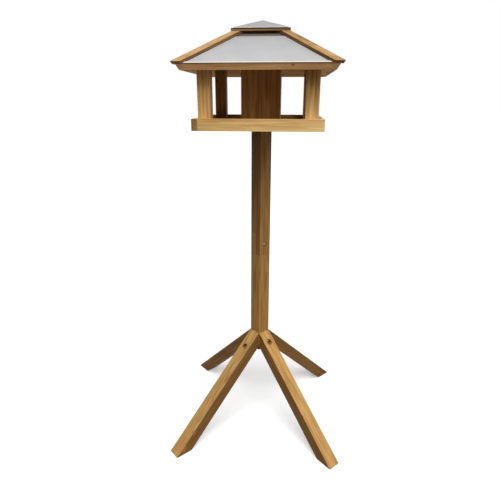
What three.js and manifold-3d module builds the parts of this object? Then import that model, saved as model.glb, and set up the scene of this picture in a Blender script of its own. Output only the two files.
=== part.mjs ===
// Bird table: a tray with a seed silo under a hipped roof, on a jointed pole with four splayed legs.
// Millimetres, +Z up. The ground is z = 0, the pole's axis is x = y = 0 and the front faces -Y.

import * as THREE from 'three';
import { mergeVertices } from 'three/addons/utils/BufferGeometryUtils.js';
import Module from 'manifold-3d';

const wasm = await Module();
wasm.setup();

// Tray: four rim boards around a floor board
const trayWidth = 380;
const rimTopHeight = 1135;
const rimHeight = 34;
const rimThickness = 17;
const floorThickness = 10;

// Corner posts, square, just inside the rim
const postWidth = 38;

// Seed silo: four upright boards, each with a slot at its foot
const siloWidth = 120;
const siloWall = 12;
const slotWidth = 64;
const slotHeight = 14;
const slotRounding = 6;

// Roof: four mitred boards with their eave edges cut square to the slope
const roofPitchDegrees = 31.7;
const roofThickness = 19;
const eaveOverhang = 21.5;
const eaveRise = 127;
const capSeatWidth = 11.5;

// Sheet metal on the roof boards, with a folded hem along the eave
const sheetThickness = 1;
const sheetBareStrip = 8.5;
const hemReach = 1.5;
const hemFold = 5;
const hemOpening = 1.2;

// Battens over the hips, a shallow V in section and a little longer than the sheets
const battenWidth = 38;
const battenThickness = 8;
const battenOverhang = 4;

// Lift-off cap: a flat board with a low metal pyramid, resting on the battens just clear of the
// roof boards, and located by cleats inside the silo
const capClearance = 2;
const capOverhang = 26;
const capThickness = 8;
const capSheetMargin = 7;
const capLip = 3;
const capRise = 28.5;
const cleatWidth = 12;
const cleatDepth = 14;
const cleatClearance = 2;

// Pole: two square sections joined by a half lap, turned an eighth of a turn to the tray
const poleWidth = 48;
const lowerPoleLength = 457;
const lapLength = 78;
const lapBoreDiameter = 16;
const lapBoreDepth = 10;
const poleTail = 12.5;

// Legs: one on each face of the pole, mitred to it and cut level at the ground
const legWidth = 45;
const legDepth = 42;
const legTopHeight = 360;
const footReach = 397;
const legBoreDiameter = 18.5;
const legBoltGrip = 16;
const highBoltShare = 0.558;
const lowBoltShare = 0.856;

// Bolts, nuts and washers for the legs and for the lap in the pole
const legHardware = {
  shank: 8, headWidth: 13, headHeight: 8, socketWidth: 6, socketDepth: 4, chamfer: 0.8,
  nutWidth: 13, nutHeight: 6.5, washerWidth: 16, washerThickness: 1.6, tail: 3,
};
const lapHardware = {
  shank: 6, headWidth: 10, headHeight: 6, socketWidth: 5, socketDepth: 3, chamfer: 0.6,
  nutWidth: 10, nutHeight: 5, washerWidth: 12, washerThickness: 1.6, tail: 2,
};
const boltHolePlay = 0.5;

// Countersunk wood screws: under the corner posts and down into the pole's head
const floorScrew = { headWidth: 8, headHeight: 2.6, shank: 4, tip: 4, length: 40 };
const poleScrew = { headWidth: 10, headHeight: 3.2, shank: 5, tip: 5, length: 60 };
const poleScrewSpacing = 24;

// Edges, fits and cuts
const boardEase = 1;
const poleEase = 2.5;
const fit = 0.3;
const overrun = 50;

// Counts
const quarterTurns = 4;
const easeFacets = 3;
const roundFacets = 24;
const screwFacets = 12;
const hexSides = 6;

// Worked-out places that several pieces share
const trayHalf = trayWidth / 2;
const trayInnerHalf = trayHalf - rimThickness;
const rimBase = rimTopHeight - rimHeight;
const floorTop = rimBase + floorThickness;
const siloHalf = siloWidth / 2;
const siloInnerHalf = siloHalf - siloWall;
const pitch = THREE.MathUtils.degToRad(roofPitchDegrees);
const eaveHalf = trayHalf + eaveOverhang;
const eaveTopHalf = eaveHalf + roofThickness * Math.sin(pitch);
const eaveHeight = rimTopHeight + eaveRise;
const sheetOut = roofThickness + fit + sheetThickness;
const seatHeight = roofHeight(siloHalf + fit + capSeatWidth, roofThickness);
const roofSpan = eaveTopHalf + overrun;

const capHalf = siloHalf + capOverhang;
const battenSeat = seatHeight + capClearance;
const capBase = battenSeat + fit;
const capTop = capBase + capThickness;
const capSheetHalf = capHalf - capSheetMargin;

const poleHalf = poleWidth / 2;
const poleTurn = -Math.PI / 4;
const lean = Math.atan2(footReach - poleHalf, legTopHeight);
const legJointHeight = legDepth / Math.sin(lean);
const poleFoot = legTopHeight - legJointHeight - poleTail;
const lapTop = poleFoot + lowerPoleLength;
const lapFoot = lapTop - lapLength;
const highBoltHeight = legTopHeight - legJointHeight * highBoltShare;
const lowBoltHeight = legTopHeight - legJointHeight * lowBoltShare;

// Height of a plane parallel to the roof, a given way out from the underside of the boards
function roofHeight(distance, out) {
  return eaveHeight + (eaveHalf - distance) * Math.tan(pitch) + out / Math.cos(pitch);
}

function point(x, y) {
  return new THREE.Vector2(x, y);
}

function rectangle(left, right, low, high) {
  return [point(left, low), point(right, low), point(right, high), point(left, high)];
}

// A closed outline with every corner eased by the same amount
function easedOutline(corners, ease) {
  const outline = new THREE.Shape();
  corners.forEach((corner, index) => {
    const before = corners.at(index - 1);
    const after = corners[(index + 1) % corners.length];
    const start = before.clone().sub(corner).setLength(ease).add(corner);
    const end = after.clone().sub(corner).setLength(ease).add(corner);
    if (index === 0) {
      outline.moveTo(start.x, start.y);
    } else {
      outline.lineTo(start.x, start.y);
    }
    outline.quadraticCurveTo(corner.x, corner.y, end.x, end.y);
  });
  return outline;
}

// A plan outline raised between two heights
function raised(outline, base, top) {
  const options = { depth: top - base, bevelEnabled: false, curveSegments: easeFacets };
  return new THREE.ExtrudeGeometry(outline, options).translate(0, 0, base);
}

// A side view, drawn as distance from the axis and height, run along Y between two places
function run(outline, from, to) {
  return raised(outline, 0, to - from).rotateX(Math.PI / 2).translate(0, to, 0);
}

function sharp(corners) {
  return new THREE.Shape(corners);
}

// A closed geometry as a solid that can be cut and joined
function solid(geometry) {
  const bare = geometry.clone();
  bare.deleteAttribute('normal');
  bare.deleteAttribute('uv');
  const merged = mergeVertices(bare);
  const vertProperties = merged.getAttribute('position').array;
  const triVerts = Uint32Array.from(merged.getIndex().array);
  return new wasm.Manifold(new wasm.Mesh({ numProp: 3, vertProperties, triVerts }));
}

// A cut solid as a geometry again
function cutGeometry(body) {
  const { vertProperties, triVerts } = body.getMesh();
  const geometry = new THREE.BufferGeometry();
  geometry.setAttribute('position', new THREE.BufferAttribute(vertProperties, 3));
  geometry.setIndex(new THREE.BufferAttribute(triVerts, 1));
  const faceted = geometry.toNonIndexed();
  faceted.computeVertexNormals();
  return faceted;
}

function cut(geometry, tools) {
  return cutGeometry(tools.reduce((body, tool) => body.subtract(solid(tool)), solid(geometry)));
}

// A revolved profile standing on the Z axis
function revolved(profile, facets) {
  return new THREE.LatheGeometry(profile, facets).rotateX(Math.PI / 2);
}

// A round bar along +X between two distances from the axis, at a height
function bar(diameter, from, to, height) {
  const geometry = new THREE.CylinderGeometry(diameter / 2, diameter / 2, to - from, roundFacets);
  return geometry.rotateZ(-Math.PI / 2).translate((from + to) / 2, 0, height);
}

const timberTones = {
  rim: 0xc39d65, floor: 0x96734a, post: 0xb38c58, silo: 0x94683a, roof: 0xac834f, batten: 0xc2a071,
  cap: 0xb5946a, cleat: 0xa98253, pole: 0xa97c48, poleFoot: 0xb68d5a, leg: 0xc6a071,
};

function timber(tone) {
  return new THREE.MeshStandardMaterial({ color: timberTones[tone], roughness: 0.75, metalness: 0 });
}

function zinc() {
  return new THREE.MeshStandardMaterial({ color: 0xc6c7c8, roughness: 0.5, metalness: 0.85 });
}

function steel() {
  return new THREE.MeshStandardMaterial({ color: 0xb2b3b2, roughness: 0.4, metalness: 1 });
}

const birdTable = new THREE.Group();

function place(name, geometry, material, parent = birdTable) {
  const mesh = new THREE.Mesh(geometry, material);
  mesh.name = name;
  parent.add(mesh);
  return mesh;
}

// Each side and each corner has a piece like the one drawn towards +X, turned about the axis
const sides = ['right', 'back', 'left', 'front'];
const corners = ['back_right', 'back_left', 'front_left', 'front_right'];

function placeAround(names, prefix, geometry, material, firstTurn = 0) {
  names.forEach((name, index) => {
    const mesh = place(`${prefix}_${name}`, geometry(name), material());
    mesh.rotation.z = firstTurn + index * 2 * Math.PI / quarterTurns;
  });
}

// Screws: a countersunk head, a plain shank and a point, drawn from the head upwards
function screwSide(screw, grow) {
  return [
    point(screw.headWidth / 2 + grow, 0),
    point(screw.shank / 2 + grow, screw.headHeight),
    point(screw.shank / 2 + grow, screw.length - screw.tip),
    point(0, screw.length + grow),
  ];
}

function screwGeometry(screw) {
  return revolved([point(0, 0), ...screwSide(screw, 0)], screwFacets);
}

function screwHole(screw) {
  const side = screwSide(screw, fit);
  const mouth = [point(0, -overrun), point(side[0].x, -overrun)];
  return revolved([...mouth, ...side], screwFacets);
}

const postCentre = trayInnerHalf - fit - postWidth / 2;

function poleScrewPlace(side) {
  return side * poleScrewSpacing / 2;
}

function makeFloor() {
  const half = trayInnerHalf - fit;
  const blank = raised(sharp(rectangle(-half, half, -half, half)), rimBase, floorTop);
  const underPosts = [-1, 1].flatMap((sideX) => [-1, 1].map((sideY) => (
    screwHole(floorScrew).translate(sideX * postCentre, sideY * postCentre, rimBase)
  )));
  const overPole = [-1, 1].map((side) => (
    screwHole(poleScrew).rotateX(Math.PI).translate(poleScrewPlace(side), 0, floorTop)
  ));
  return cut(blank, [...underPosts, ...overPole]);
}

// Each rim board butts against the next and covers the end of the one before it
function makeRimBoard() {
  const section = easedOutline(rectangle(trayInnerHalf, trayHalf, rimBase, rimTopHeight), boardEase);
  return run(section, fit - trayInnerHalf, trayHalf);
}

// Everything above the underside of the roof boards, less the fit
function aboveRoof() {
  const ridge = roofHeight(0, 0) + overrun;
  const section = [
    point(0, roofHeight(0, -fit)), point(roofSpan, roofHeight(roofSpan, -fit)),
    point(roofSpan, ridge), point(0, ridge),
  ];
  return run(sharp(section), -roofSpan, roofSpan);
}

// A post stands on the floor, and its top is bevelled twice to meet both roof boards over the corner
function makePost() {
  const near = postCentre - postWidth / 2;
  const far = postCentre + postWidth / 2;
  const plan = easedOutline(rectangle(near, far, near, far), boardEase);
  const blank = raised(plan, floorTop + fit, roofHeight(near, 0) + overrun);
  const pilot = screwHole(floorScrew).translate(postCentre, postCentre, rimBase);
  return cut(blank, [aboveRoof(), aboveRoof().rotateZ(Math.PI / 2), pilot]);
}

function makeSiloBoard() {
  const plan = easedOutline(rectangle(siloInnerHalf, siloHalf, fit - siloInnerHalf, siloHalf), boardEase);
  const blank = raised(plan, floorTop + fit, seatHeight);
  const opening = rectangle(-slotWidth / 2, slotWidth / 2, floorTop - overrun, floorTop + slotHeight);
  const slot = run(easedOutline(opening, slotRounding), siloInnerHalf - overrun, siloHalf + overrun);
  return cut(blank, [slot.rotateZ(-Math.PI / 2)]);
}

// The quarter of the roof's plan that belongs to the right side, held off the hips by an offset
function quarterWedge(offset) {
  const tip = offset * Math.SQRT2;
  const plan = [point(tip, 0), point(roofSpan, tip - roofSpan), point(roofSpan, roofSpan - tip)];
  return raised(sharp(plan), eaveHeight - overrun, roofHeight(0, roofThickness) + overrun);
}

// The square shaft that the silo fills, and everything above a level under the cap
function siloShaft() {
  const half = siloHalf + fit;
  return raised(sharp(rectangle(-half, half, -half, half)), eaveHeight, seatHeight + overrun);
}

function aboveLevel(height) {
  const half = capHalf + overrun;
  return raised(sharp(rectangle(-half, half, -half, half)), height, roofHeight(0, sheetOut) + overrun);
}

// A point on the roof's section: up the slope from the eave's top edge, and out from the boards
function slopePoint(up, out) {
  const x = eaveTopHalf - up * Math.cos(pitch) + out * Math.sin(pitch);
  return point(x, roofHeight(eaveTopHalf, roofThickness) + up * Math.sin(pitch) + out * Math.cos(pitch));
}

// Board: square eave edge, mitred hips, upright against the silo, level under the cap
function makeRoofBoard() {
  const toAxis = eaveTopHalf / Math.cos(pitch);
  const section = easedOutline([
    slopePoint(0, -roofThickness), slopePoint(0, 0),
    slopePoint(toAxis, 0), slopePoint(toAxis, -roofThickness),
  ], boardEase);
  const blank = solid(run(section, -eaveTopHalf, eaveTopHalf)).intersect(solid(quarterWedge(fit / 2)));
  return cut(cutGeometry(blank), [siloShaft(), aboveLevel(seatHeight)]);
}

// Sheet: follows the board, runs past its edge and folds back over itself as a hem. The hem is cut
// away at the hips, where the plain sheet goes on under the battens.
function makeRoofSheet() {
  const foldOuter = sheetThickness + hemOpening / 2;
  const foldInner = hemOpening / 2;
  const foldCentre = slopePoint(foldOuter - hemReach, fit + foldOuter);
  const sheetTop = (eaveTopHalf - capHalf - sheetBareStrip) / Math.cos(pitch);
  const hemBack = foldOuter - hemReach + hemFold;
  const down = -Math.PI / 2 - pitch;
  const up = Math.PI / 2 - pitch;
  const start = slopePoint(sheetTop, fit);
  const hemOuter = slopePoint(hemBack, fit + 2 * foldOuter);
  const hemInner = slopePoint(hemBack, fit + 2 * foldOuter - sheetThickness);
  const upperEdge = slopePoint(sheetTop, fit + sheetThickness);
  const hemmed = new THREE.Shape();
  hemmed.moveTo(start.x, start.y);
  hemmed.absarc(foldCentre.x, foldCentre.y, foldOuter, down, up, false);
  hemmed.lineTo(hemOuter.x, hemOuter.y);
  hemmed.lineTo(hemInner.x, hemInner.y);
  hemmed.absarc(foldCentre.x, foldCentre.y, foldInner, up, down, true);
  hemmed.lineTo(upperEdge.x, upperEdge.y);
  const plain = sharp([start, slopePoint(0, fit), slopePoint(0, fit + sheetThickness), upperEdge]);
  const betweenBattens = solid(quarterWedge(battenWidth / 2 + fit));
  const toHips = solid(quarterWedge(fit / 2));
  const middle = solid(run(hemmed, -roofSpan, roofSpan)).intersect(betweenBattens);
  return cutGeometry(solid(run(plain, -roofSpan, roofSpan)).intersect(toHips).add(middle));
}

// Beyond the end of a batten, on the slope to one side of its hip
function pastBattenEnd(turn) {
  const end = -hemReach - battenOverhang;
  const section = [
    slopePoint(end, -overrun), slopePoint(end - 2 * overrun, -overrun),
    slopePoint(end - 2 * overrun, overrun), slopePoint(end, overrun),
  ];
  return run(sharp(section), -roofSpan, roofSpan).rotateZ(turn);
}

// Batten: sits on the sheets of both slopes, with its ends square to them, and is level under the cap
function makeBatten() {
  const half = battenWidth / 2;
  const fall = half * Math.tan(pitch) / Math.SQRT2;
  const base = roofHeight(0, sheetOut + fit);
  const top = roofHeight(0, sheetOut + fit + battenThickness);
  const section = sharp([
    point(-half, base - fall), point(0, base), point(half, base - fall),
    point(half, top - fall), point(0, top), point(-half, top - fall),
  ]);
  const alongHip = new THREE.Vector3(1, 0, -Math.tan(pitch) / Math.SQRT2);
  const across = new THREE.Matrix4().makeBasis(
    new THREE.Vector3(0, 1, 0), new THREE.Vector3(0, 0, 1), alongHip,
  );
  const blank = raised(section, 0, roofSpan * Math.SQRT2).applyMatrix4(across);
  return cut(blank, [pastBattenEnd(Math.PI / 4), pastBattenEnd(-Math.PI / 4), aboveLevel(battenSeat)]);
}

function makeCapBoard() {
  const side = easedOutline(rectangle(-capHalf, capHalf, capBase, capTop), boardEase);
  return run(side, -capHalf, capHalf);
}

// Metal pyramid, hollow, with a short upright lip standing on the cap board
const capPitch = Math.atan2(capRise, capSheetHalf);

function pyramid(profile) {
  const turned = profile.map(({ x, y }) => point(x * Math.SQRT2, y));
  return revolved(turned, quarterTurns).rotateZ(Math.PI / 4);
}

function makeCapSheet() {
  const base = capTop + fit;
  const peak = base + capLip + capRise;
  const innerHalf = capSheetHalf - sheetThickness;
  const innerPeak = peak - sheetThickness / Math.cos(capPitch);
  return pyramid([
    point(0, innerPeak), point(innerHalf, innerPeak - innerHalf * Math.tan(capPitch)),
    point(innerHalf, base), point(capSheetHalf, base),
    point(capSheetHalf, base + capLip), point(0, peak),
  ]);
}

// Wooden block under the metal that the sheet is pinned to
function makeCapCore() {
  const base = capTop + fit;
  const half = capSheetHalf - sheetThickness - fit;
  const peak = base + capLip + capRise - (sheetThickness + fit) / Math.cos(capPitch);
  return pyramid([
    point(0, base), point(half, base),
    point(half, peak - half * Math.tan(capPitch)), point(0, peak),
  ]);
}

function makeCleat() {
  const outer = siloInnerHalf - cleatClearance;
  const inner = outer - cleatWidth;
  const top = capBase - fit;
  const section = easedOutline(rectangle(inner, outer, top - cleatDepth, top), boardEase);
  return run(section, fit - inner, outer);
}

// Pole sections, drawn with the lap's upper half towards +X
const boltHole = (hardware) => hardware.shank + 2 * boltHolePlay;

function lapBores() {
  const seat = poleHalf - lapBoreDepth;
  const height = (lapFoot + lapTop) / 2;
  return [
    bar(boltHole(lapHardware), -poleHalf - overrun, poleHalf + overrun, height),
    bar(lapBoreDiameter, seat, poleHalf + overrun, height),
    bar(lapBoreDiameter, -poleHalf - overrun, -seat, height),
  ];
}

function poleBlank(base, top) {
  return raised(easedOutline(rectangle(-poleHalf, poleHalf, -poleHalf, poleHalf), poleEase), base, top);
}

function lapWaste(from, to, base, top) {
  const outline = sharp(rectangle(from, to, -poleHalf - overrun, poleHalf + overrun));
  return raised(outline, base, top);
}

function makeUpperPole() {
  const head = rimBase - fit;
  const waste = lapWaste(-poleHalf - overrun, fit / 2, lapFoot - overrun, lapTop + fit);
  const pilots = [-1, 1].map((side) => (
    screwHole(poleScrew).rotateX(Math.PI).translate(poleScrewPlace(side), 0, floorTop).rotateZ(-poleTurn)
  ));
  return cut(poleBlank(lapFoot, head), [waste, ...lapBores(), ...pilots]);
}

function makeLowerPole() {
  const waste = lapWaste(-fit / 2, poleHalf + overrun, lapFoot - fit, lapTop + overrun);
  const reach = poleHalf + overrun;
  const high = bar(boltHole(legHardware), -reach, reach, highBoltHeight);
  const low = bar(boltHole(legHardware), -reach, reach, lowBoltHeight).rotateZ(Math.PI / 2);
  return cut(poleBlank(poleFoot, lapTop), [waste, ...lapBores(), high, low]);
}

// Leg: mitred to the pole's face, cut level at the foot, bored for its bolt
function makeLeg(corner) {
  const isHigh = corner === 'front_right' || corner === 'back_left';
  const height = isHigh ? highBoltHeight : lowBoltHeight;
  const face = poleHalf + fit;
  const sole = legDepth / Math.cos(lean);
  const footTop = footReach + fit;
  const side = easedOutline([
    point(face, legTopHeight - legJointHeight), point(footTop - sole, 0),
    point(footTop, 0), point(face, legTopHeight),
  ], boardEase);
  const blank = run(side, -legWidth / 2, legWidth / 2);
  const hole = bar(boltHole(legHardware), 0, footReach, height);
  const bore = bar(legBoreDiameter, poleHalf + legBoltGrip, footReach, height);
  return cut(blank, [hole, bore]);
}

// A bolt with its nut and two washers, drawn along Z with the head upwards
function boltGeometry(hardware, seat) {
  const radius = hardware.headWidth / 2;
  const headBase = seat + 2 * fit + hardware.washerThickness;
  const headTop = headBase + hardware.headHeight;
  const tip = headBase + hardware.nutHeight + hardware.tail;
  const shank = hardware.shank / 2;
  const blank = revolved([
    point(0, -tip), point(shank - hardware.chamfer, -tip), point(shank, hardware.chamfer - tip),
    point(shank, headBase), point(radius, headBase),
    point(radius, headTop - hardware.chamfer), point(radius - hardware.chamfer, headTop), point(0, headTop),
  ], roundFacets);
  return cut(blank, [hexPrism(hardware.socketWidth, headTop - hardware.socketDepth, headTop + overrun)]);
}

function hexPrism(width, base, top) {
  const radius = width / 2 / Math.cos(Math.PI / hexSides);
  const prism = new THREE.CylinderGeometry(radius, radius, top - base, hexSides);
  return prism.rotateX(Math.PI / 2).translate(0, 0, (base + top) / 2);
}

function nutGeometry(hardware, seat) {
  const top = -(seat + 2 * fit + hardware.washerThickness);
  const base = top - hardware.nutHeight;
  const bore = hardware.shank / 2 + fit;
  const hole = revolved([
    point(0, base - overrun), point(bore, base - overrun), point(bore, top + overrun), point(0, top + overrun),
  ], roundFacets);
  return cut(hexPrism(hardware.nutWidth, base, top), [hole]);
}

function washerGeometry(hardware, base) {
  const inner = hardware.shank / 2 + fit;
  const outer = hardware.washerWidth / 2;
  const top = base + hardware.washerThickness;
  return revolved([
    point(inner, top), point(inner, base), point(outer, base), point(outer, top), point(inner, top),
  ], roundFacets);
}

function placeBolt(name, hardware, seat, height, turn) {
  const axis = new THREE.Group();
  axis.position.z = height;
  axis.rotation.set(0, Math.PI / 2, turn, 'ZYX');
  birdTable.add(axis);
  const washerBase = seat + fit;
  place(`${name}_bolt`, boltGeometry(hardware, seat), steel(), axis);
  place(`${name}_nut`, nutGeometry(hardware, seat), steel(), axis);
  place(`${name}_washer_head`, washerGeometry(hardware, washerBase), steel(), axis);
  const underNut = -washerBase - hardware.washerThickness;
  place(`${name}_washer_nut`, washerGeometry(hardware, underNut), steel(), axis);
}

// Tray and posts
place('floor_board', makeFloor(), timber('floor'));
placeAround(sides, 'rim', makeRimBoard, () => timber('rim'));
placeAround(corners, 'post', makePost, () => timber('post'));
placeAround(corners, 'floor_screw', () => (
  screwGeometry(floorScrew).translate(postCentre, postCentre, rimBase)
), steel);

// Silo and roof
placeAround(sides, 'silo', makeSiloBoard, () => timber('silo'));
placeAround(sides, 'roof_board', makeRoofBoard, () => timber('roof'));
placeAround(sides, 'roof_sheet', makeRoofSheet, zinc);
placeAround(corners, 'hip_batten', makeBatten, () => timber('batten'), Math.PI / 4);

// Cap
place('cap_board', makeCapBoard(), timber('cap'));
place('cap_core', makeCapCore(), timber('cap'));
place('cap_sheet', makeCapSheet(), zinc());
placeAround(sides, 'cap_cleat', makeCleat, () => timber('cleat'));

// Pole, with its screws from the tray and the bolt through the lap
place('pole_upper', makeUpperPole(), timber('pole')).rotation.z = poleTurn;
place('pole_lower', makeLowerPole(), timber('poleFoot')).rotation.z = poleTurn;
['left', 'right'].forEach((name, index) => {
  const screw = place(`pole_screw_${name}`, screwGeometry(poleScrew).rotateX(Math.PI), steel());
  screw.position.set(poleScrewPlace(index === 0 ? -1 : 1), 0, floorTop);
});
placeBolt('lap', lapHardware, poleHalf - lapBoreDepth, (lapFoot + lapTop) / 2, poleTurn);

// Legs, held in pairs by two bolts that cross in the pole
placeAround(corners, 'leg', makeLeg, () => timber('leg'), Math.PI / 4);
placeBolt('leg_high', legHardware, poleHalf + legBoltGrip, highBoltHeight, poleTurn);
placeBolt('leg_low', legHardware, poleHalf + legBoltGrip, lowBoltHeight, poleTurn - Math.PI / 2);

export default birdTable;
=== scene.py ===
import math

import bmesh
import bpy
from mathutils import Matrix, Vector


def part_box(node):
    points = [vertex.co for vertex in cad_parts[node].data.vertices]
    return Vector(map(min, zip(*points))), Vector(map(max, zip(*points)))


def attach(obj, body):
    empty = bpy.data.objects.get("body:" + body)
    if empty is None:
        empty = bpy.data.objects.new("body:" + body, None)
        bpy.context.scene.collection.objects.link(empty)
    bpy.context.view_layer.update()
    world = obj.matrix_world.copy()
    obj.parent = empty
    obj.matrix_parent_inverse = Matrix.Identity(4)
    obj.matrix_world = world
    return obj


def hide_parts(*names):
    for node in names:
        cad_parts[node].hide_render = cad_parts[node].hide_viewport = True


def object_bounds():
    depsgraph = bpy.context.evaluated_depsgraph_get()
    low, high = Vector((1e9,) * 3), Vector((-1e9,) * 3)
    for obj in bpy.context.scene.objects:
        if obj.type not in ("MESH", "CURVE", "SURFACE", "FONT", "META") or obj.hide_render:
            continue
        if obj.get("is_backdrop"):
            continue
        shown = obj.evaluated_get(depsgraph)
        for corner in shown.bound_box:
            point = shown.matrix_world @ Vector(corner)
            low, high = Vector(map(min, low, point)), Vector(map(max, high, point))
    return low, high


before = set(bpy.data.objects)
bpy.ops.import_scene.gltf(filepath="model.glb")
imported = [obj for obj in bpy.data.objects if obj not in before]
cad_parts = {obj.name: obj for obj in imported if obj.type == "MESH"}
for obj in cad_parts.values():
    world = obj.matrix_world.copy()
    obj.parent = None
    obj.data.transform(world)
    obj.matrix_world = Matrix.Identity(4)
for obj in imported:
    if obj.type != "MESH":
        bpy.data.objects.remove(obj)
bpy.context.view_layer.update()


# Tray floor. One planed larch board inside the rim, screwed to the posts from below.
# It lies in the roof's shade and carries the silo, so only a little of it ever shows.
def colour(code):
    """An sRGB hex code as the linear colour that a shader wants."""
    parts = [int(code[at:at + 2], 16) / 255 for at in (0, 2, 4)]
    linear = [part / 12.92 if part <= 0.04045 else ((part + 0.055) / 1.055) ** 2.4 for part in parts]
    return linear + [1]


def add(tree, kind, links=None, stops=None, **settings):
    """Adds a node: its settings, its sockets' values or links, and a ramp's stops."""
    node = tree.nodes.new("ShaderNode" + kind)
    for name, value in settings.items():
        setattr(node, name, value)
    for name, value in (links or {}).items():
        if isinstance(value, bpy.types.NodeSocket):
            tree.links.new(value, node.inputs[name])
        else:
            node.inputs[name].default_value = value
    for place, (position, shade) in enumerate(stops or []):
        ramp = node.color_ramp.elements
        stop = ramp[place] if place < 2 else ramp.new(position)
        stop.position = position
        stop.color = shade
    return node


def blank(name):
    """A new material and its empty node tree."""
    material = bpy.data.materials.new(name)
    material.use_nodes = True
    material.node_tree.nodes.clear()
    return material, material.node_tree


def softwood(name, pale, deep, ring_mm=5, ends="cecac8",
             painted_shade_band=None, painted_side_shade=None, spots=(), sheen=0.15):
    """Planed larch, oiled: year rings round the heart of the log, fibres and streaks along it, knots.

    pale and deep are the tones of the early and the late wood, and ring_mm is a year ring's width.
    ends is the tone laid over the sawn ends, which drink more oil and stay darker; a near-black one
    is painted shade. The band of heights, (height, height, tone), is painted shade: between the two
    heights in metres the wood takes that tone. The side tone is painted shade laid over the sides,
    which get less light than the tops. spots are (x, y, z in metres, reach in mm, tone): a big knot,
    resin, or painted shade in and round a hole.
    sheen is the oil's: most of it has soaked in, so it is far below a varnish.

    Three attributes of the mesh say how the piece lay in the log and how it is shaded. "log" has its X
    axis on the heart line, so one solid pattern gives long stripes on the faces and arcs on the sawn
    ends.
    "grain" is the way the log runs. "shade" scales the colour: partly the piece's own random tone,
    partly painted shade; where it is low, the painted shade is tinted browner too.
    """
    mm = 0.001
    knot_spacing, knot_reach = 130 * mm, 7 * mm
    wander_width, wander_by = 60 * mm, 30 * mm
    streak_width, fibre_width, patch_width = 7 * mm, 1.2 * mm, 50 * mm
    ring_share, streak_share, fibre_share, middle = 0.3, 2.0, 0.3, -0.77
    # The last tone is the tint of painted shade.
    warm_patch, knot_tone, painted_shade_tint = "fff8ec", "6b3f1c", "ffeec0"

    material, tree = blank(name)
    log = add(tree, "Attribute", attribute_name="log").outputs["Vector"]
    slow = add(tree, "Mapping", {"Vector": log, "Scale": (0.1, 1, 1)}).outputs["Vector"]
    drawn = add(tree, "Mapping", {"Vector": log, "Scale": (0.05, 1, 1)}).outputs["Vector"]
    thin = add(tree, "Mapping", {"Vector": log, "Scale": (0.02, 1, 1)}).outputs["Vector"]

    # The log wanders a little, and its rings swell round each knot.
    knots = add(tree, "TexVoronoi", {"Vector": log, "Scale": 1 / knot_spacing}).outputs["Distance"]
    reach = knot_reach / knot_spacing
    swell = add(tree, "MapRange", {
        "Value": knots, "From Min": reach * 3.5, "From Max": reach * 0.5,
        "To Min": 1.0, "To Max": 1.16,
    }, interpolation_type="SMOOTHSTEP").outputs["Result"]
    wander = add(tree, "TexNoise", {
        "Vector": slow, "Scale": 1 / wander_width, "Detail": 2}).outputs["Color"]
    wander = add(tree, "VectorMath", {0: wander, 1: (0.5, 0.5, 0.5)}, operation="SUBTRACT").outputs[0]
    wander = add(tree, "VectorMath", {0: wander, "Scale": wander_by}, operation="SCALE").outputs[0]
    bent = add(tree, "VectorMath", {0: log, 1: wander}, operation="ADD").outputs[0]
    bent = add(tree, "VectorMath", {0: bent, "Scale": swell}, operation="SCALE").outputs[0]

    # A year ring darkens slowly and ends sharply. A wave of scale 1 has a ring every pi / 10.
    rings = add(tree, "TexWave", {"Vector": bent, "Scale": math.pi / 10 / (ring_mm * mm)},
                wave_type="RINGS", rings_direction="X", wave_profile="SAW").outputs["Fac"]
    levels = [(0, 0), (0.6, 0.3), (0.9, 1), (1, 0.1)]
    rings = add(tree, "ValToRGB", {"Fac": rings}, [
        (position, [level, level, level, 1]) for position, level in levels]).outputs["Color"]
    streaks = add(tree, "TexNoise", {
        "Vector": drawn, "Scale": 1 / streak_width, "Detail": 3}).outputs["Fac"]
    fibres = add(tree, "TexNoise", {
        "Vector": thin, "Scale": 1 / fibre_width, "Detail": 2}).outputs["Fac"]
    grain = middle
    for part, share in ((rings, ring_share), (streaks, streak_share), (fibres, fibre_share)):
        grain = add(tree, "Math", {0: part, 1: share, 2: grain}, operation="MULTIPLY_ADD").outputs[0]
    face = add(tree, "ValToRGB", {"Fac": grain}, [(0, colour(pale)), (1, colour(deep))]).outputs["Color"]

    # Warmer patches, and the knots themselves.
    patch = add(tree, "TexNoise", {
        "Vector": slow, "Scale": 1 / patch_width, "Detail": 1}).outputs["Fac"]
    patch = add(tree, "MapRange", {
        "Value": patch, "From Min": 0.4, "From Max": 0.65}).outputs["Result"]
    face = add(tree, "MixRGB", {
        "Fac": patch, "Color1": face, "Color2": colour(warm_patch),
    }, blend_type="MULTIPLY").outputs["Color"]
    knot = add(tree, "MapRange", {
        "Value": knots, "From Min": reach, "From Max": reach * 0.7, "To Min": 0.0, "To Max": 0.7,
    }).outputs["Result"]
    face = add(tree, "MixRGB", {
        "Fac": knot, "Color1": face, "Color2": colour(knot_tone)}).outputs["Color"]

    # The piece's own tone and its painted shade, tinted browner where the shade is deeper, and its sawn
    # ends.
    shade = add(tree, "Attribute", attribute_name="shade").outputs["Fac"]
    face = add(tree, "VectorMath", {0: face, "Scale": shade}, operation="SCALE").outputs[0]
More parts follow.
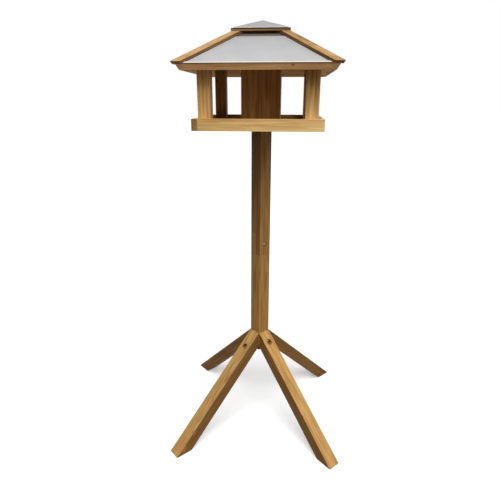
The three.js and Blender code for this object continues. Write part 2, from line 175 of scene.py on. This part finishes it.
    # Painted shade: the lower the shade value, the browner the tint, as wood in shade looks.
    painted_shade_brownness = add(tree, "MapRange", {
        "Value": shade, "From Min": 1.0, "From Max": 0.5}).outputs["Result"]
    face = add(tree, "MixRGB", {
        "Fac": painted_shade_brownness, "Color1": face, "Color2": colour(painted_shade_tint),
    }, blend_type="MULTIPLY").outputs["Color"]
    place = add(tree, "TexCoord").outputs
    way = add(tree, "Attribute", attribute_name="grain").outputs["Vector"]
    across = add(tree, "VectorMath", {
        0: place["Normal"], 1: way}, operation="DOT_PRODUCT").outputs["Value"]
    across = add(tree, "Math", {0: across}, operation="ABSOLUTE").outputs[0]
    sawn_end = add(tree, "MapRange", {
        "Value": across, "From Min": 0.8, "From Max": 0.95, "To Min": 0.0, "To Max": 1.0,
    }).outputs["Result"]
    skin = add(tree, "MixRGB", {
        "Fac": sawn_end, "Color1": face, "Color2": colour(ends),
    }, blend_type="MULTIPLY").outputs["Color"]

    # Painted shade on the sides and in a band of heights, and spots: knots, and painted shade in holes.
    if painted_side_shade:
        lean = add(tree, "SeparateXYZ", {"Vector": place["Normal"]}).outputs["Z"]
        side_shade_mask = add(tree, "MapRange", {
            "Value": lean, "From Min": 0.5, "From Max": 0.1}).outputs["Result"]
        skin = add(tree, "MixRGB", {
            "Fac": side_shade_mask, "Color1": skin, "Color2": colour(painted_side_shade),
        }, blend_type="MULTIPLY").outputs["Color"]
    if painted_shade_band:
        height = add(tree, "SeparateXYZ", {"Vector": place["Object"]}).outputs["Z"]
        in_shade_band = add(tree, "MapRange", {
            "Value": height, "From Min": painted_shade_band[0], "From Max": painted_shade_band[1]}).outputs["Result"]
        skin = add(tree, "MixRGB", {
            "Fac": in_shade_band, "Color1": skin, "Color2": colour(painted_shade_band[2])}).outputs["Color"]
    for x, y, z, reach_mm, tone in spots:
        far = add(tree, "VectorMath", {
            0: place["Object"], 1: (x, y, z)}, operation="DISTANCE").outputs["Value"]
        near = add(tree, "MapRange", {
            "Value": far, "From Min": reach_mm * mm, "From Max": reach_mm * 0.3 * mm, "To Max": 0.8,
        }, interpolation_type="SMOOTHSTEP").outputs["Result"]
        skin = add(tree, "MixRGB", {
            "Fac": near, "Color1": skin, "Color2": colour(tone)}).outputs["Color"]

    dull = add(tree, "MapRange", {"Value": grain, "To Min": 0.55, "To Max": 0.72}).outputs["Result"]
    bump = add(tree, "Bump", {
        "Height": grain, "Strength": 0.35, "Distance": 0.4 * mm}).outputs["Normal"]
    surface = add(tree, "BsdfPrincipled", {
        "Base Color": skin, "Roughness": dull, "Specular IOR Level": sheen, "Normal": bump,
    }).outputs["BSDF"]
    add(tree, "OutputMaterial", {"Surface": surface})
    return material


def eased(node, name, soften, corner):
    """A CAD node's mesh with its flat faces made whole and its corners broken.

    soften, in metres, is how much comes off each edge that turns by more than corner, in degrees.
    """
    same_point, same_plane, crease = 0.00001, math.radians(1), math.radians(50)
    form = bmesh.new()
    form.from_mesh(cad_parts[node].data)
    bmesh.ops.remove_doubles(form, verts=form.verts, dist=same_point)
    bmesh.ops.dissolve_limit(form, angle_limit=same_plane, verts=form.verts, edges=form.edges)
    sharp = [edge for edge in form.edges
             if len(edge.link_faces) == 2 and edge.calc_face_angle(0) > math.radians(corner)]
    bmesh.ops.bevel(form, geom=sharp, offset=soften, segments=2, profile=0.5,
                    affect="EDGES", clamp_overlap=True)
    mesh = bpy.data.meshes.new(name)
    form.to_mesh(mesh)
    form.free()
    mesh.polygons.foreach_set("use_smooth", [True] * len(mesh.polygons))
    mesh.set_sharp_from_angle(angle=crease)
    return mesh


def put(mesh, node, body, material):
    """The finished piece in the place of its CAD node."""
    mesh.materials.append(material)
    piece = bpy.data.objects.new(mesh.name, mesh)
    bpy.context.scene.collection.objects.link(piece)
    piece.modifiers.new("flat faces stay flat", "WEIGHTED_NORMAL").keep_sharp = True
    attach(piece, body)
    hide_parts(node)
    return piece


def timber(node, body, material, grain, heart, shade=1.0):
    """Sawn timber in the place of a CAD node, with its sharp edges eased by the plane.

    grain is the way the log runs, and heart, in metres, is where its centre lies from the piece's own.
    shade is how much paler or darker than its neighbours the piece is, partly its own random tone and
    partly painted shade, or two such numbers, for the two ends of the log.
    """
    low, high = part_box(node)
    along = Vector(grain).normalized()
    out = along.orthogonal().normalized()
    axes = Matrix((along, out, along.cross(out))).transposed().to_4x4()
    to_log = (Matrix.Translation((low + high) / 2 + Vector(heart)) @ axes).inverted()
    mesh = eased(node, node + "_timber", 0.0006, 40)
    log = mesh.attributes.new("log", "FLOAT_VECTOR", "POINT")
    log.data.foreach_set("vector", [part for vertex in mesh.vertices for part in to_log @ vertex.co])
    way = mesh.attributes.new("grain", "FLOAT_VECTOR", "POINT")
    way.data.foreach_set("vector", list(along) * len(mesh.vertices))
    tone_and_shade_level = mesh.attributes.new("shade", "FLOAT", "POINT")
    first, last = shade if isinstance(shade, tuple) else (shade, shade)
    places = [vertex.co.dot(along) for vertex in mesh.vertices]
    start, reach = min(places), max(places) - min(places)
    tone_and_shade_level.data.foreach_set("value", [first + (last - first) * (at - start) / reach for at in places])
    return put(mesh, node, body, material)


# The floor's larch is painted much darker than the rest: painted shade of the roof and the rim. The
# cap's cleats take it too.
painted_shade_larch = softwood("oiled larch of the tray floor", "5c4528", "402c16", sheen=0.02)
timber("floor_board", "table", painted_shade_larch, (1, 0, 0), (0, 0.03, -0.07))


# Rim. Four larch boards, each butted against the next so that one sawn end shows at every corner.
# Planed and oiled; they get the most light of all the timber on the table.
rim_larch = softwood("oiled larch of the rim", "f6d79b", "c29150", ends="a6a3a1")
sides = ("right", "back", "left", "front")
outward = {"right": Vector((1, 0, 0)), "back": Vector((0, 1, 0)),
           "left": Vector((-1, 0, 0)), "front": Vector((0, -1, 0))}
# The back board's low value is painted shade on its inner face in the tray; the front board runs darker
# towards its left end.
rim_shades = {"right": 0.95, "back": 0.65, "left": 0.9, "front": (0.82, 1.1)}
for turn, side in enumerate(sides):
    run = outward[sides[(turn + 1) % 4]]
    heart = outward[side] * -0.055 + run * 0.13 * turn + Vector((0, 0, 0.012 * turn - 0.02))
    timber("rim_" + side, "table", rim_larch, run, heart, rim_shades[side])


# Corner posts. Square larch bars standing on the floor inside the rim; their tops are bevelled
# to the roof boards. Their upper ends are painted darker and browner, painted shade of the eaves,
# and the back posts, inside the house, are painted darker still.
post_larch = softwood("oiled larch of the posts", "e7c285", "a97a42")
corners = {"back_right": (1, 1), "back_left": (-1, 1), "front_left": (-1, -1), "front_right": (1, -1)}
post_shades = {"back_right": (0.7, 0.42), "back_left": (0.6, 0.36),
               "front_left": (1.1, 0.7), "front_right": (1.14, 0.39)}
for turn, (corner, (x, y)) in enumerate(corners.items()):
    heart = Vector((0.03 * x, 0.05 * y + 0.01 * turn, 0.2 * turn))
    timber("post_" + corner, "table", post_larch, (0, 0, 1), heart, post_shades[corner])


# Seed silo. Four upright larch boards with a slot at the foot of each, in the deep shade of the roof.
# The boards are darker and redder than the rest, with a strong upright grain, and carry painted shade of
# the roof that deepens towards the top.
silo_larch = softwood("oiled larch of the silo", "b98a4e", "875a2c", ring_mm=6)
silo_shade = (1.45, 0.62)
for turn, side in enumerate(sides):
    run = outward[sides[(turn + 1) % 4]]
    heart = outward[side] * -0.045 + run * 0.02 + Vector((0, 0, 0.31 * turn))
    timber("silo_" + side, "table", silo_larch, (0, 0, 1), heart, silo_shade)


# Roof boards. Thick larch boards mitred at the hips and cut level under the cap, where a narrow
# bare strip of them shows above the metal, painted dark grey-brown as the cap's shade. Their square
# eave edges, one with a knot, show below the metal; the boards' pale tone is partly their own and
# partly painted light for these edges, which face down.
bare_from, strip_shade_full = 1.3560, 1.3564
eave_knot = (0.0958, -0.2183, 1.2731, 5, "9c4f26")
roof_larch = softwood("oiled larch of the roof", "facc92", "d09257",
                      painted_shade_band=(bare_from, strip_shade_full, "6b5d53"), spots=[eave_knot])
for turn, side in enumerate(sides):
    run = outward[sides[(turn + 1) % 4]]
    heart = outward[side] * 0.03 + Vector((0, 0, -0.06)) + run * 0.17 * turn
    timber("roof_board_" + side, "table", roof_larch, run, heart)


# Roof metal. Thin zinc sheets nailed on the boards, dulled by the weather, each with a folded hem
# along the eave, painted brighter as a highlight above a thin painted shadow line. The sheets came
# off the rolls a little wavy.
def zinc(name, tone, head, foot, bands):
    """Weathered sheet zinc: a matt grey patina over some bare metal, with cloudy patches.

    head and foot are (height in metres, share of the tone): between them the tone runs paler towards
    the foot of the slope. bands are (height, tone), downwards: below each height the sheet has that
    tone, for a painted highlight on a folded edge and a painted shadow line under it.
    """
    mm = 0.001
    cloud_width, fleck_width, wave_length = 50 * mm, 4 * mm, 120 * mm
    roughness, uneven, patch_share, blur = 0.7, 0.06, 0.93, 0.2 * mm

    material, tree = blank(name)
    place = add(tree, "TexCoord").outputs["Object"]
    cloud = add(tree, "TexNoise", {
        "Vector": place, "Scale": 1 / cloud_width, "Detail": 4}).outputs["Fac"]
    fleck = add(tree, "TexNoise", {
        "Vector": place, "Scale": 1 / fleck_width, "Detail": 2}).outputs["Fac"]
    wave = add(tree, "TexNoise", {
        "Vector": place, "Scale": 1 / wave_length, "Detail": 1}).outputs["Fac"]
    pale = colour(tone)
    dull = [part * patch_share for part in pale[:3]] + [1]
    patch = add(tree, "MapRange", {
        "Value": cloud, "From Min": 0.35, "From Max": 0.7}).outputs["Result"]
    skin = add(tree, "MixRGB", {"Fac": patch, "Color1": pale, "Color2": dull}).outputs["Color"]
    height = add(tree, "SeparateXYZ", {"Vector": place}).outputs["Z"]
    slope_tone = add(tree, "MapRange", {
        "Value": height, "From Min": foot[0], "From Max": head[0], "To Min": foot[1], "To Max": head[1],
    }).outputs["Result"]
    skin = add(tree, "VectorMath", {0: skin, "Scale": slope_tone}, operation="SCALE").outputs[0]
    for level, band in bands:
        below = add(tree, "MapRange", {
            "Value": height, "From Min": level + blur, "From Max": level - blur}).outputs["Result"]
        skin = add(tree, "MixRGB", {
            "Fac": below, "Color1": skin, "Color2": colour(band)}).outputs["Color"]
    matt = add(tree, "MapRange", {
        "Value": fleck, "To Min": roughness - uneven, "To Max": roughness + uneven}).outputs["Result"]
    bump = add(tree, "Bump", {"Height": wave, "Strength": 0.1, "Distance": 4 * mm}).outputs["Normal"]
    surface = add(tree, "BsdfPrincipled", {
        "Base Color": skin, "Metallic": 0.25, "Roughness": matt, "Specular IOR Level": 0.2,
        "Normal": bump,
    }).outputs["BSDF"]
    add(tree, "OutputMaterial", {"Surface": surface})
    return material


def sheet_metal(node, body, material):
    """Sheet metal in the place of a CAD node, with smooth folds and slightly broken edges."""
    return put(eased(node, node + "_metal", 0.0002, 60), node, body, material)


drip_edge, upper_edge = (corner.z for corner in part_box("roof_sheet_front"))
# The hem's pale band is a painted highlight, and the dark band at its foot a painted shadow.
hem_top, hem_shadow_top = drip_edge + 0.0038, drip_edge + 0.0013
roof_zinc = zinc("weathered sheet zinc of the roof", "b6b6b7", (upper_edge, 0.88), (drip_edge, 1.05),
                 [(hem_top, "dfd8cd"), (hem_shadow_top, "2e2620")])
for side in sides:
    sheet_metal("roof_sheet_" + side, "table", roof_zinc)


# Hip battens. Larch strips planed to a shallow V, so that they lie on the sheets of both slopes and
# cover the joint. They run a little past the hems; their ends, square to the slopes, are painted
# nearly black, and their sides darker, as painted shade.
batten_larch = softwood("oiled larch of the battens", "d6ac79", "936d40",
                        ends="2b2019", painted_side_shade="a39e99")
batten_shades = {"back_right": 0.9, "back_left": 0.95, "front_left": 1.0, "front_right": 0.88}
for turn, (corner, (x, y)) in enumerate(corners.items()):
    node = "hip_batten_" + corner
    low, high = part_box(node)
    fall = Vector((x * (high.x - low.x), y * (high.y - low.y), low.z - high.z))
    heart = Vector((0.01 * x, -0.01 * y, -0.05)) + fall.normalized() * 0.21 * turn
    timber(node, "table", batten_larch, fall, heart, batten_shades[corner])


# Cap. A flat larch board that closes the silo, a zinc pyramid on it with a short upright lip,
# a wooden core under the metal, and four cleats that keep it centred in the silo.
# A painted shadow blackens the board's top under the lip. On the zinc, the lip's pale band is a
# painted highlight with a painted shadow at its foot, and the cap's zinc is toned darker than the
# roof's, painted shade against the brighter light its flatter slope catches.
board_top, lip_shadow_from = 1.3780, 1.3776
cap_larch = softwood("oiled larch of the cap", "96774d", "674a28",
                     ends="806c5a", painted_shade_band=(lip_shadow_from, board_top, "221a14"))
timber("cap_board", "cap", cap_larch, (1, 0, 0), (0, 0.02, -0.06))
timber("cap_core", "cap", cap_larch, (1, 0, 0), (0.1, 0.03, -0.08))
for turn, side in enumerate(sides):
    run = outward[sides[(turn + 1) % 4]]
    heart = outward[side] * 0.03 + run * 0.1 * turn + Vector((0, 0, -0.03))
    timber("cap_cleat_" + side, "cap", painted_shade_larch, run, heart)
cap_foot, cap_top = (corner.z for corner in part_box("cap_sheet"))
lip_top, lip_shadow_top = cap_foot + 0.003, cap_foot + 0.001
cap_zinc = zinc("weathered sheet zinc of the cap", "999998", (cap_top, 0.94), (cap_foot, 0.98),
                [(lip_top, "e6ddd1"), (lip_shadow_top, "2e2620")])
sheet_metal("cap_sheet", "cap", cap_zinc)


# Pole. Two square larch bars joined by a half lap with one bolt through it. The upper one stands in
# the tray's shade, and its darker tone is painted shade; so is the darker face to the left and front,
# darkest towards the tray. The foot of the lower one, between the legs, is painted dark as their shade.
upper_larch = softwood("oiled larch of the upper pole", "ab824b", "744e26")
upper_pole = timber("pole_upper", "table", upper_larch, (0, 0, 1), (0.03, -0.02, 0.1))
shut_side, shade_below, shade_above = Vector((-1, -1, 0)).normalized(), 0.85, 0.47
low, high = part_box("pole_upper")
for vertex, tone_and_shade_level in zip(upper_pole.data.vertices, upper_pole.data.attributes["shade"].data):
    if vertex.normal.dot(shut_side) > 0.75:
        share = (vertex.co.z - low.z) / (high.z - low.z)
        tone_and_shade_level.value = shade_below + (shade_above - shade_below) * share
pole_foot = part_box("pole_lower")[0].z
lower_larch = softwood("oiled larch of the lower pole", "b88c4d", "7d562b",
                       painted_shade_band=(pole_foot + 0.03, pole_foot + 0.005, "3a2413"))
timber("pole_lower", "table", lower_larch, (0, 0, 1), (-0.02, 0.035, 0.13))


# Legs. Square larch bars mitred to the faces of the pole and cut level at the ground, with a round
# sunk hole in the top of each for the head or the nut of a bolt. The holes are painted dark as the
# shade in them, the sides carry painted shade, darker than the tops, and there are three knots on
# the front pair.
high_hole, low_hole = (sum(corner.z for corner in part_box(bolt)) / 2
                       for bolt in ("leg_high_bolt", "leg_low_bolt"))
high_aside, low_aside = 0.0375, 0.0467
holes = [(high_aside, -high_aside, high_hole), (-high_aside, high_aside, high_hole),
         (-low_aside, -low_aside, low_hole), (low_aside, low_aside, low_hole)]
leg_knots = [(-0.2140, -0.2458, 0.0697, 14, "a36c3f"), (-0.2564, -0.2693, 0.0247, 26, "b98149"),
             (0.0994, -0.1312, 0.2174, 9, "8a4622")]
leg_larch = softwood("oiled larch of the legs", "c8a064", "926a36", painted_side_shade="ada08d",
                     spots=[hole + (16, "201207") for hole in holes] + leg_knots)
leg_shades = {"back_right": 0.95, "back_left": 1.0, "front_left": 1.0, "front_right": 1.12}
for turn, (corner, (x, y)) in enumerate(corners.items()):
    node = "leg_" + corner
    low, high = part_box(node)
    fall = Vector((x * (high.x - low.x), y * (high.y - low.y), low.z - high.z))
    heart = Vector((0.02 * y, 0.03 * x, 0.03)) + fall.normalized() * 0.3 * turn
    timber(node, "table", leg_larch, fall, heart, leg_shades[corner])


# Bolts, nuts, washers and screws. Zinc-plated steel from the shelf, dull and slightly yellow;
# the heads and nuts sit deep in their holes, so only a glint of them shows.
def plated_steel(name):
    """Zinc-plated steel: a fine crystalline dullness over bright metal."""
    crystal_width = 0.0015
    material, tree = blank(name)
    place = add(tree, "TexCoord").outputs["Object"]
    crystal = add(tree, "TexNoise", {
        "Vector": place, "Scale": 1 / crystal_width, "Detail": 3}).outputs["Fac"]
    skin = add(tree, "ValToRGB", {"Fac": crystal}, [
        (0.3, colour("8a8069")), (0.7, colour("b5a888"))]).outputs["Color"]
    matt = add(tree, "MapRange", {"Value": crystal, "To Min": 0.25, "To Max": 0.45}).outputs["Result"]
    surface = add(tree, "BsdfPrincipled", {
        "Base Color": skin, "Metallic": 1.0, "Roughness": matt}).outputs["BSDF"]
    add(tree, "OutputMaterial", {"Surface": surface})
    return material


fastener_steel = plated_steel("zinc-plated steel of the fasteners")
fastener_words = ("screw", "bolt", "nut", "washer")
for name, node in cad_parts.items():
    if any(word in name for word in fastener_words):
        node.data.materials.clear()
        node.data.materials.append(fastener_steel)


# Floor and light. A plain pale floor under a white surround; a broad key light from above and in
# front, two soft fills from the right, one of them low, and a soft one from behind.
# The camera stands where the photograph's stood.
def seen_directly(tree):
    """1 where the camera, a reflection or glass looks at it, and 0 where light bounces off it."""
    path = add(tree, "LightPath").outputs
    seen = add(tree, "Math", {
        0: path["Is Camera Ray"], 1: path["Is Glossy Ray"]}, operation="MAXIMUM").outputs[0]
    return add(tree, "Math", {
        0: seen, 1: path["Is Transmission Ray"]}, operation="MAXIMUM").outputs[0]


def pale_floor(name):
    """White to the camera and to reflections, darker to the light that would bounce up from it."""
    material, tree = blank(name)
    bounce = add(tree, "BsdfDiffuse", {"Color": colour("888683")}).outputs[0]
    chalk = add(tree, "BsdfDiffuse", {"Color": colour("e6e6e6")}).outputs[0]
    glow = add(tree, "Emission", {"Color": colour("ffffff"), "Strength": 0.35}).outputs[0]
    shown = add(tree, "AddShader", {0: chalk, 1: glow}).outputs[0]
    surface = add(tree, "MixShader", {0: seen_directly(tree), 1: bounce, 2: shown}).outputs[0]
    add(tree, "OutputMaterial", {"Surface": surface})
    return material


floor_reach, below_soles = 30, 0.0005
floor_mesh = bpy.data.meshes.new("studio_floor")
floor_form = bmesh.new()
bmesh.ops.create_grid(floor_form, x_segments=1, y_segments=1, size=floor_reach)
floor_form.to_mesh(floor_mesh)
floor_form.free()
floor_mesh.materials.append(pale_floor("pale studio floor"))
studio_floor = bpy.data.objects.new("studio_floor", floor_mesh)
studio_floor.location.z = -below_soles
bpy.context.scene.collection.objects.link(studio_floor)
studio_floor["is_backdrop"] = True

world = bpy.data.worlds.new("white surround")
bpy.context.scene.world = world
world.use_nodes = True
sky = world.node_tree
sky.nodes.clear()
ambient = add(sky, "Background", {"Color": colour("ffffff"), "Strength": 0.02}).outputs[0]
white = add(sky, "Background", {"Color": colour("ffffff"), "Strength": 1.0}).outputs[0]
mixed = add(sky, "MixShader", {0: seen_directly(sky), 1: ambient, 2: white}).outputs[0]
add(sky, "OutputWorld", {"Surface": mixed})


def soft_sun(name, towards, strength, spread):
    """A far soft box: even light from one side, with blurred shadows.

    towards is the way the light travels, and spread is how wide the box looks, in degrees.
    """
    data = bpy.data.lights.new(name, "SUN")
    data.energy = strength
    data.angle = math.radians(spread)
    lamp = bpy.data.objects.new(name, data)
    lamp.rotation_mode = "QUATERNION"
    lamp.rotation_quaternion = Vector(towards).to_track_quat("-Z", "Y")
    bpy.context.scene.collection.objects.link(lamp)


soft_sun("key", (0, 0.5, -0.866), 2.5, 40)
soft_sun("fill from the right", (-0.47, 0.671, -0.574), 0.75, 40)
soft_sun("low fill from the right", (-0.883, 0.321, -0.342), 0.6, 60)
soft_sun("fill from behind", (0.35, -0.8, -0.5), 1.0, 70)

# Solved from the straight edges in the photograph: millimetres for the lens, metres and radians.
yaw, dip, roll = 0.0929, -0.3362, 0.0016
camera_data = bpy.data.cameras.new("camera")
camera_data.sensor_width = 36
camera_data.lens = 31.2
camera = bpy.data.objects.new("camera", camera_data)
camera.location = (0.0987, -1.4596, 1.1896)
heading = Matrix.Rotation(yaw, 3, "Z") @ Matrix.Rotation(math.pi / 2 + dip, 3, "X")
camera.rotation_euler = (heading @ Matrix.Rotation(roll, 3, "Z")).to_euler()
bpy.context.scene.collection.objects.link(camera)
bpy.context.scene.camera = camera

bpy.context.scene.view_settings.view_transform = "Standard"

low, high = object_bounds()
